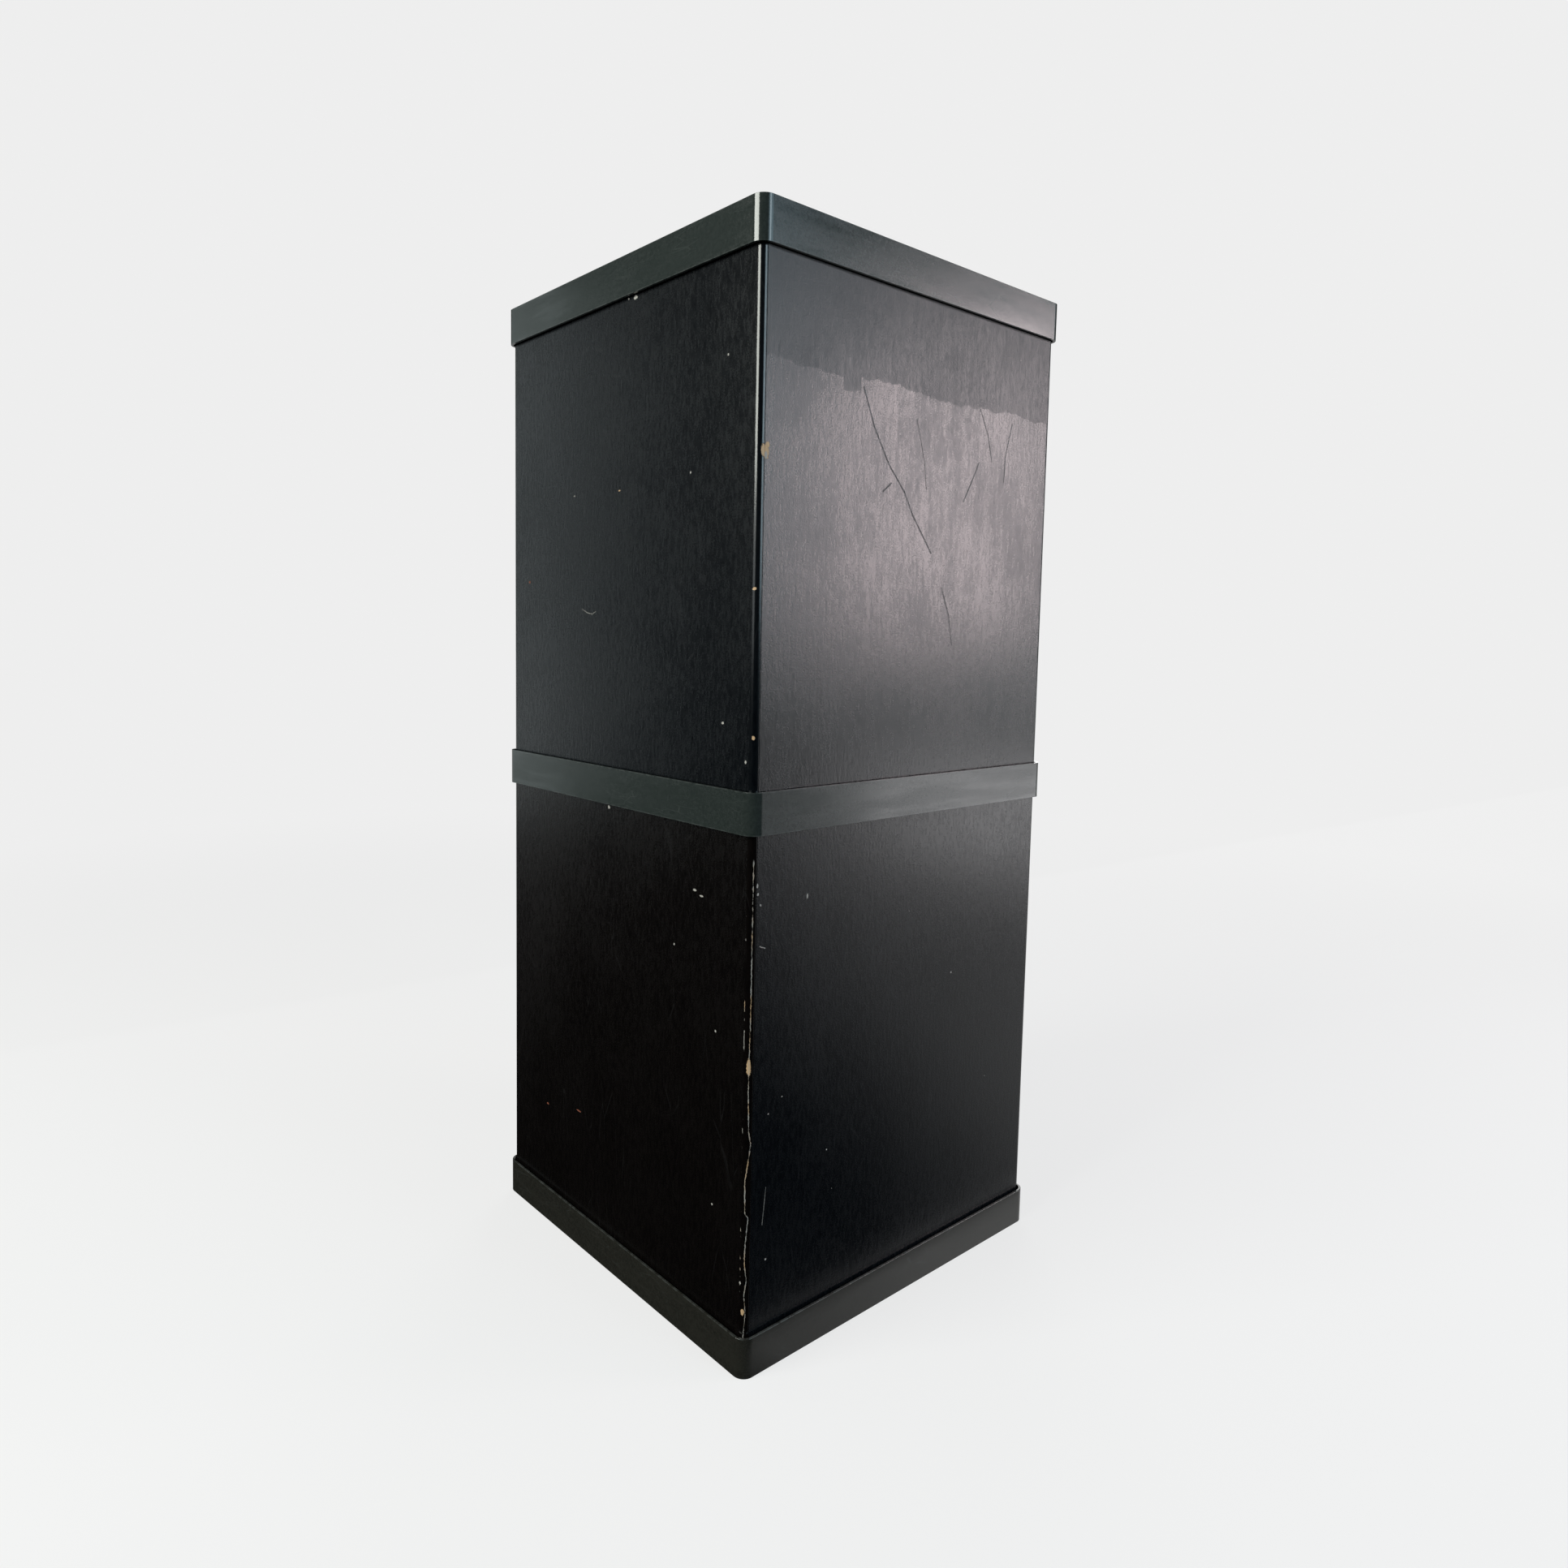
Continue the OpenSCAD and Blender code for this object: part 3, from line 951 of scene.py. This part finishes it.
# ---------------------------------------------------------------- meshes


def link_object(name: str, data: bpy.types.ID) -> Object:
    """Makes an object from its data and links it to the scene."""
    made = bpy.data.objects.new(name, data)
    bpy.context.scene.collection.objects.link(made)
    return made


def area_shading(mesh: bpy.types.Mesh, limit: float = 50.0) -> None:
    """Shades a mesh smoothly, with each corner's direction led by its largest faces.

    Faces that meet at a greater angle than the limit keep a crisp edge between them.

    Args:
        mesh: the mesh to shade.
        limit: the greatest angle that is smoothed over, in degrees.
    """
    least = math.cos(math.radians(limit))
    around = [[] for _ in mesh.vertices]
    for face in mesh.polygons:
        face.use_smooth = True
        for index in face.vertices:
            around[index].append(face)
    turns = []
    for face in mesh.polygons:
        for index in face.vertices:
            total = Vector((0.0, 0.0, 0.0))
            for other in around[index]:
                if other.normal.dot(face.normal) > least:
                    total += other.normal * other.area
            turns.append(total.normalized())
    mesh.normals_split_custom_set(turns)


def finish_mesh(bm: bmesh.types.BMesh, name: str, body: str,
                materials: Sequence[Material]) -> Object:
    """Turns a bmesh into a piece that rides on a body.

    Args:
        bm: the finished bmesh, which is freed.
        name: the piece's name.
        body: the CAD body that it rides on.
        materials: its materials, in slot order.

    Returns:
        The new object.
    """
    bmesh.ops.recalc_face_normals(bm, faces=bm.faces)
    mesh = bpy.data.meshes.new(name)
    bm.to_mesh(mesh)
    bm.free()
    for material in materials:
        mesh.materials.append(material)
    area_shading(mesh)
    piece = link_object(name, mesh)
    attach(piece, body)
    LOG.info("%s: %d faces on %s", name, len(mesh.polygons), body)
    return piece


def square_ring(bm: bmesh.types.BMesh, half: float, radius: float, level: float,
                steps: int) -> list[bmesh.types.BMEdge]:
    """Adds one level, square outline with rounded corners.

    Args:
        bm: the bmesh to add to.
        half: half the width of the square.
        radius: the rounding of its corners.
        level: its height.
        steps: the number of steps in each rounding.

    Returns:
        The outline's edges.
    """
    known = set(bm.edges)
    turn = Matrix.Translation((0, 0, level)) @ Matrix.Rotation(math.radians(45), 4, "Z")
    made = bmesh.ops.create_circle(bm, cap_ends=True, segments=4, radius=half * math.sqrt(2),
                                   matrix=turn)
    bmesh.ops.bevel(bm, geom=made["verts"], offset=radius, offset_type="OFFSET", segments=steps,
                    profile=0.5, affect="VERTICES", material=-1)
    edges = [e for e in bm.edges if e not in known]
    caps = list({f for e in edges for f in e.link_faces})
    bmesh.ops.delete(bm, geom=caps, context="FACES_ONLY")
    return edges


@dataclass
class BandFrame:
    """One moulded frame: an outer skirt that shows as a band, and the walls behind it."""

    node: str
    piece: str
    tier: Tier
    skirt: float = 0.0020
    gap: float = 0.0020
    wall: float = 0.0030
    inner_out: float = 0.1555
    inner_in: float = 0.1530
    shelf_in: float = 0.1340
    shelf_up: float = 0.0135
    corner: float = 0.0095
    lip: float = 0.00045
    steps: int = 12
    ribs: int = 3
    rib_width: float = 0.0030
    rib_stand_off: float = 0.0003
    #: how far the ribs stop short of a frame's closed side, and of its open side
    rib_closed: float = 0.0015
    rib_open: float = 0.006

    def profile(self, low: float, high: float) -> list[tuple[float, float]]:
        """Lists the turns of the frame's cross section.

        Args:
            low: the level of its underside.
            high: the level of its top.

        Returns:
            Half widths and levels, in order round the section.
        """
        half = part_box(self.node)[1].x
        skirt, wall, shelf = half - self.skirt, self.wall, low + self.shelf_up
        out, inner, tip = self.inner_out, self.inner_in, self.shelf_in
        ledge = [(inner, shelf + wall), (tip, shelf + wall), (tip, shelf), (inner, shelf)]
        if self.node == "base_frame":
            return [(half, low), (half, high), (skirt, high), (skirt, low + wall),
                    (out, low + wall), (out, high), (inner, high), *ledge, (inner, low)]
        if self.node == "top_frame":
            return [(half, low), (half, high), (inner, high), *ledge, (inner, low), (out, low),
                    (out, high - wall), (skirt, high - wall), (skirt, low)]
        return [(half, low), (half, high), (skirt, high), (skirt, shelf + wall),
                (out, shelf + wall), (out, high), (inner, high), *ledge, (inner, low),
                (out, low), (out, shelf), (skirt, shelf), (skirt, low)]

    def rounding(self, half: float) -> float:
        """Returns the corner rounding of the outline at a half width."""
        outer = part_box(self.node)[1].x
        return max(self.corner - (outer - half), 0.0005)

    def add_ribs(self, bm: bmesh.types.BMesh, low: float, high: float) -> None:
        """Adds the locating ribs inside the skirt.

        Args:
            bm: the frame's bmesh.
            low: the level where the ribs begin.
            high: the level where they end.
        """
        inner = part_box(self.node)[1].x - self.skirt
        depth = self.gap - self.rib_stand_off + self.skirt / 2
        run = 2 * self.shelf_in / (self.ribs + 1)
        for side in range(4):
            turn = Matrix.Rotation(math.radians(90 * side), 4, "Z")
            for i in range(self.ribs):
                across = (i + 1) * run - self.shelf_in
                back = inner + (self.skirt - depth) / 2
                middle = Matrix.Translation((across, back, (low + high) / 2))
                size = Matrix.Diagonal((self.rib_width, depth, high - low, 1))
                bmesh.ops.create_cube(bm, size=1.0, matrix=turn @ middle @ size)

    def build(self, finish: BandFinish, effects: SharedEffects) -> Object:
        """Builds the frame and dresses it.

        Args:
            finish: the finish of the bands.
            effects: the shared node groups.

        Returns:
            The piece.
        """
        low, high = (corner.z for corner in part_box(self.node))
        bm = bmesh.new()
        turns = self.profile(low, high)
        rings = [square_ring(bm, half, self.rounding(half), level, self.steps)
                 for half, level in turns]
        for first, second in zip(rings, rings[1:] + rings[:1]):
            bmesh.ops.bridge_loops(bm, edges=first + second)
        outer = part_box(self.node)[1].x
        skirt = outer - self.skirt - self.lip / 2
        lips = [e for ring, (half, level) in zip(rings, turns) for e in ring
                if half > skirt and level in (low, high)]
        bmesh.ops.bevel(bm, geom=lips, offset=self.lip, offset_type="OFFSET", segments=3,
                        profile=0.5, affect="EDGES", material=-1, clamp_overlap=True)
        self.add_ribs(bm, low + (self.rib_closed if self.node == "base_frame" else self.rib_open),
                      high - (self.rib_closed if self.node == "top_frame" else self.rib_open))
        material = replace(finish, low=low, high=high).build(f"{self.piece}_plastic", effects)
        piece = finish_mesh(bm, self.piece, self.tier.value, [material])
        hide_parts(self.node)
        return piece


@dataclass
class PanelSet:
    """The four side panels of one tier, each lapping over the end of the next."""

    tier: Tier
    out: float = 0.166
    inner: float = 0.156
    lap: float = 0.161
    rounding: float = 0.0045
    ease: float = 0.0004
    steps: int = 10

    def outline(self, face: Face) -> list[tuple[float, float, float]]:
        """Lists the corners of a panel seen from above.

        Args:
            face: which side it closes.

        Returns:
            X, Y and the rounding of each corner, in order round the board.
        """
        out, inner, lap, big, small = self.out, self.inner, self.lap, self.rounding, self.ease
        if face is Face.LEFT:
            return [(-out, -out, big), (-lap, -out, small), (-lap, -inner, 0), (-inner, -inner, 0),
                    (-inner, inner, 0), (-lap, inner, 0), (-lap, out, small), (-out, out, big)]
        if face is Face.FRONT:
            return [(-lap, -out, small), (out, -out, big), (out, -lap, small), (inner, -lap, 0),
                    (inner, -inner, 0), (-lap, -inner, small)]
        if face is Face.RIGHT:
            return [(inner, -lap, small), (out, -lap, small), (out, out, big), (lap, out, small),
                    (lap, inner, 0), (inner, inner, 0)]
        return [(-lap, inner, small), (lap, inner, small), (lap, out, small), (-lap, out, small)]

    def build_panel(self, face: Face, foil: Material,
                    core: Material) -> Object:
        """Builds one panel and dresses it.

        Args:
            face: which side it closes.
            foil: the material of its skin.
            core: the material of its cut ends.

        Returns:
            The piece.
        """
        node = f"{self.tier.prefix}_panel_{face.value}"
        low, high = (corner.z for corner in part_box(node))
        bm = bmesh.new()
        corners = [(bm.verts.new((x, y, low)), r) for x, y, r in self.outline(face)]
        bm.faces.new([v for v, _ in corners])
        for radius, steps in ((self.rounding, self.steps), (self.ease, 3)):
            chosen = [v for v, r in corners if r == radius]
            if chosen:
                bmesh.ops.bevel(bm, geom=chosen, offset=radius, offset_type="OFFSET",
                                segments=steps, profile=0.5, affect="VERTICES", material=-1)
        grown = bmesh.ops.extrude_face_region(bm, geom=list(bm.faces))
        top = [g for g in grown["geom"] if isinstance(g, bmesh.types.BMVert)]
        bmesh.ops.translate(bm, verts=top, vec=(0, 0, high - low))
        for end in bm.faces:
            end.normal_update()
            if abs(end.normal.z) > 0.9:
                end.material_index = 1
        piece = finish_mesh(bm, f"{self.tier.prefix}_{face.value}_board", self.tier.value,
                            [foil, core])
        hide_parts(node)
        return piece


@dataclass
class InnerParts:
    """The parts that keep their CAD shapes: boards, posts and screws."""

    boards: tuple[str, ...] = ("base_board", "deck_board", "top_board")
    posts: tuple[str, ...] = tuple(f"{tier}_post_{depth}_{side}" for tier in ("lower", "upper")
                                   for depth in ("front", "back") for side in ("left", "right"))
    screws: tuple[str, ...] = ("base_screws", "deck_screws", "lower_panel_screws",
                               "upper_panel_screws", "top_frame_screws", "top_board_screws")

    def dress(self, names: Iterable[str], material: Material) -> None:
        """Gives CAD nodes a finish.

        Args:
            names: the nodes.
            material: the finish that they share.
        """
        for name in names:
            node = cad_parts[name]
            node.data.materials.clear()
            node.data.materials.append(material)
            LOG.info("%s: %s", name, material.name)

    def build(self, foil: Material, wood: Material,
              zinc: Material) -> None:
        """Dresses every kept node.

        Args:
            foil: the finish of the boards.
            wood: the finish of the posts.
            zinc: the finish of the screws.
        """
        self.dress(self.boards, foil)
        self.dress(self.posts, wood)
        self.dress(self.screws, zinc)


# ---------------------------------------------------------------- studio


@dataclass(frozen=True)
class Softbox:
    """A soft rectangular lamp, unseen by the camera."""

    name: str
    place: Point
    aim: Point
    width: float
    height: float
    radiance: float
    tint: RGB = (1.0, 1.0, 1.0)

    def build(self) -> Object:
        """Builds the lamp.

        Returns:
            The lamp's object.
        """
        lamp = bpy.data.lights.new(self.name, "AREA")
        lamp.shape = "RECTANGLE"
        lamp.size, lamp.size_y = self.width, self.height
        lamp.energy = self.radiance * math.pi * self.width * self.height
        lamp.color = self.tint
        made = link_object(self.name, lamp)
        made.location = self.place
        away = Vector(self.place) - Vector(self.aim)
        made.rotation_euler = away.to_track_quat("Z", "Y").to_euler()
        made.visible_camera = False
        LOG.info("lamp %s", self.name)
        return made


@dataclass
class Studio:
    """The pale floor, the lamps and the camera."""

    camera_place: Point = (-0.6296, -0.6908, 0.5219)
    camera_turns: Point = (1.4846, -0.7015, 0.0160)
    lens: float = 23.97
    sensor: float = 36.0
    shift: tuple[float, float] = (0.0338, -0.0336)
    pale: float = 0.868
    wall_tone: float = 0.856
    shade_share: float = 0.15
    floor_light: float = 1.25
    room: float = 0.26
    floor_sheen: float = 0.50
    near_sheen: float = 0.34
    near_rise: float = 0.27
    least_sheen: float = 0.005
    #: the oblique line beyond which the floor takes the wall's tone
    far_slope: float = -0.1064
    far_start: float = 0.782
    #: where the soft shade round the box begins and where it is full
    shade_edge: float = 2.4
    shade_full: float = 0.9
    floor_half: float = 30.0
    mirror_level: float = 0.03
    boxes: tuple[Softbox, ...] = (
        Softbox("key_right", (1.530, -1.425, 0.93), (0.003, -0.166, 0.63), 0.54, 0.78, 10.2,
                (1.0, 0.83, 0.85)),
        Softbox("key_right_wide", (1.56, -1.46, 0.92), (0.003, -0.166, 0.63), 1.4, 1.2, 1.3,
                (0.85, 0.97, 1.0)),
        Softbox("key_low", (1.331, -1.054, 0.15), (0.099, -0.166, 0.341), 0.6, 0.24, 3.1,
                (1.0, 0.98, 1.0)),
        Softbox("front_soft", (0.59, -2.23, 1.20), (-0.16, -0.17, 0.75), 1.6, 1.2, 2.9,
                (0.60, 0.86, 1.0)),
        Softbox("strip_front", (0.40, -2.29, 1.30), (-0.16, -0.17, 0.70), 0.40, 1.2, 5.0,
                (0.80, 0.93, 1.0)),
        Softbox("window_left", (-2.33, 0.21, 1.50), (-0.17, -0.17, 0.75), 1.5, 1.1, 15.0,
                (0.97, 1.0, 0.93)),
        Softbox("window_sill", (-2.35, 0.21, 0.72), (-0.17, -0.17, 0.60), 1.5, 0.44, 1.7,
                (0.90, 0.97, 1.0)),
        Softbox("far_left", (-1.07, 1.95, 0.75), (-0.166, 0.148, 0.56), 0.40, 1.46, 0.95,
                (0.88, 0.98, 1.0)),
        Softbox("back_right", (1.95, 1.65, 1.25), (0.1, 0.1, 0.5), 1.3, 1.2, 4.0),
    )

    def build_camera(self) -> Object:
        """Builds the camera.

        Returns:
            The camera's object.
        """
        data = bpy.data.cameras.new("studio_camera")
        data.lens, data.sensor_width = self.lens, self.sensor
        data.sensor_fit = "AUTO"
        data.shift_x, data.shift_y = self.shift
        data.clip_start, data.clip_end = 0.02, 100.0
        made = link_object("studio_camera", data)
        tilt, turn, roll = self.camera_turns
        facing = (Matrix.Rotation(turn, 4, "Z") @ Matrix.Rotation(tilt, 4, "X")
                  @ Matrix.Rotation(roll, 4, "Z"))
        made.matrix_world = Matrix.Translation(self.camera_place) @ facing
        bpy.context.scene.camera = made
        return made

    def seen(self, sheet: Sheet) -> tuple[bpy.types.NodeSocket, Socket]:
        """Builds how much of the pale background a ray meets.

        Args:
            sheet: the sheet to build in.

        Returns:
            The share for plain sight, and the share for mirrored sight.
        """
        path = sheet.node("ShaderNodeLightPath")
        plain = sheet.math("ADD", path.outputs["Is Camera Ray"],
                           path.outputs["Is Transmission Ray"], clamp=True)
        return plain, path.outputs["Is Glossy Ray"]

    def build_floor(self) -> Object:
        """Builds the floor, whose tone drops slightly beyond a soft oblique line.

        Returns:
            The floor's object.
        """
        bm = bmesh.new()
        bmesh.ops.create_grid(bm, x_segments=8, y_segments=8, size=self.floor_half)
        mesh = bpy.data.meshes.new("studio_floor")
        bm.to_mesh(mesh)
        bm.free()
        made = bpy.data.materials.new("pale_floor")
        made.use_nodes = True
        made.node_tree.nodes.clear()
        sheet = Sheet(made.node_tree)
        x, y, _ = sheet.split(sheet.place())
        beyond = sheet.sub(y, sheet.scale_add(x, self.far_slope, self.far_start))
        far = sheet.ramp(beyond, -0.02, 0.03)
        tone = sheet.ramp(far, 0.0, 1.0, self.pale, self.wall_tone, smooth=False)
        plain, mirrored = self.seen(sheet)
        glow = sheet.node("ShaderNodeEmission")
        reach = sheet.vector("LENGTH", sheet.place()).outputs["Value"]
        shaded = sheet.ramp(reach, self.shade_edge, self.shade_full, 0.0, self.shade_share)
        given = sheet.mul(shaded, self.floor_light)
        lit = sheet.mul(tone, sheet.sub(1.0, given))
        strength = sheet.mul(lit, plain)
        # The floor glows for mirrored rays only, more towards the right and in a strip close in
        # front of the box: a painted reflection on the lowest panels and the base band.
        sheen = sheet.ramp(sheet.scale_add(y, 0.5, x), -0.10, 0.33, self.least_sheen,
                           self.floor_sheen)
        along = sheet.add(sheet.ramp(x, -0.172, -0.130, 0.0, self.near_sheen, smooth=False),
                           sheet.ramp(x, -0.130, 0.060, 0.0, self.near_rise, smooth=False))
        close = sheet.mul(sheet.ramp(y, -0.212, -0.192), along)
        close = sheet.mul(close, sheet.math("LESS_THAN", y, -0.165))
        sheen = sheet.math("MAXIMUM", sheen, close)
        strength = sheet.scale_add(mirrored, sheen, strength)
        sheet.feed(glow.inputs["Strength"], strength)
        matt = sheet.node("ShaderNodeBsdfDiffuse")
        share = sheet.mul(sheet.sub(1.0, mirrored), shaded)
        grey = sheet.node("ShaderNodeCombineColor")
        for target in grey.inputs:
            sheet.feed(target, share)
        sheet.feed(matt.inputs["Color"], grey.outputs[0])
        both = sheet.node("ShaderNodeAddShader")
        sheet.feed(both.inputs[0], glow.outputs[0])
        sheet.feed(both.inputs[1], matt.outputs[0])
        end = sheet.node("ShaderNodeOutputMaterial")
        sheet.feed(end.inputs["Surface"], both.outputs[0])
        mesh.materials.append(made)
        floor = link_object("studio_floor", mesh)
        return floor

    def build_world(self) -> bpy.types.World:
        """Builds the even light of the room and its pale backdrop.

        Returns:
            The world.
        """
        world = bpy.data.worlds.new("studio_room")
        bpy.context.scene.world = world
        world.use_nodes = True
        world.node_tree.nodes.clear()
        sheet = Sheet(world.node_tree)
        plain, mirrored = self.seen(sheet)
        strength = sheet.scale_add(plain, self.wall_tone - self.room, self.room)
        strength = sheet.sub(strength,
                              sheet.mul(mirrored, self.room - self.mirror_level))
        back = sheet.node("ShaderNodeBackground")
        back.inputs["Color"].default_value = (1.0, 1.0, 1.0, 1.0)
        sheet.feed(back.inputs["Strength"], strength)
        end = sheet.node("ShaderNodeOutputWorld")
        sheet.feed(end.inputs["Surface"], back.outputs[0])
        return world

    def build(self) -> None:
        """Builds the floor, the room light, the lamps and the camera."""
        self.build_floor()
        self.build_world()
        for lamp in self.boxes:
            lamp.build()
        self.build_camera()
        bpy.context.scene.view_settings.view_transform = "Standard"


# ---------------------------------------------------------------- putting it together


def build_bands(effects: SharedEffects) -> None:
    """Builds the three bands.

    Args:
        effects: the shared node groups.
    """
    finish = BandFinish()
    # The base band takes a darker, warmer copy of the plastic: painted shade and a painted warm
    # reflection of the floor.
    painted_shade_finish = BandFinish(deep=(0.0103, 0.0104, 0.0086), pale=(0.0180, 0.0176, 0.0148))
    BandFrame("base_frame", "base_band", Tier.LOWER).build(painted_shade_finish, effects)
    BandFrame("joining_frame", "middle_band", Tier.LOWER).build(finish, effects)
    BandFrame("top_frame", "top_band", Tier.UPPER).build(finish, effects)


def build_panels(effects: SharedEffects, core: Material) -> None:
    """Builds the eight side panels, the two nearest faces with their own marks.

    Args:
        effects: the shared node groups.
        core: the finish of the cut ends.
    """
    plain = FoilFinish().build("foil_plain", effects)
    finishes = {
        (Tier.UPPER, Face.LEFT): FoilFinish(marks=UPPER_LEFT_MARKS, scratches=UPPER_LEFT_SCRATCHES),
        (Tier.UPPER, Face.FRONT): FoilFinish(smooth=0.15, marks=UPPER_FRONT_MARKS,
                                             scratches=UPPER_FRONT_SCRATCHES, haze=ScuffAndSheen()),
        # The lower left panel takes a browner copy of the foil: a painted warm reflection.
        (Tier.LOWER, Face.LEFT): FoilFinish(deep=(0.0009, 0.0007, 0.0007),
                                            pale=(0.0026, 0.0019, 0.0018),
                                            marks=LOWER_LEFT_MARKS, worn=WornEdge()),
        (Tier.LOWER, Face.FRONT): FoilFinish(marks=LOWER_FRONT_MARKS,
                                             scratches=LOWER_FRONT_SCRATCHES),
    }
    skins = {(tier, face): finish.build(f"foil_{tier.prefix}_{face.value}", effects)
             for (tier, face), finish in finishes.items()}
    for tier in Tier:
        panels = PanelSet(tier)
        for face in Face:
            panels.build_panel(face, skins.get((tier, face), plain), core)


def main() -> None:
    """Builds the riser box and its studio."""
    logging.basicConfig(level=logging.INFO, format="%(name)s %(message)s")
    effects = SharedEffects()
    core = CoreFinish().build("board_core", effects)
    build_bands(effects)
    build_panels(effects, core)
    matt = FoilFinish(deep=(0.0060, 0.0066, 0.0072), pale=(0.0125, 0.0130, 0.0138), smooth=0.42,
                      grain_depth=0.00008)
    InnerParts().build(matt.build("foil_boards", effects),
                       SoftwoodFinish().build("post_softwood", effects),
                       ZincFinish().build("screw_zinc", effects))
    Studio().build()


if __name__ == "__main__":
    main()
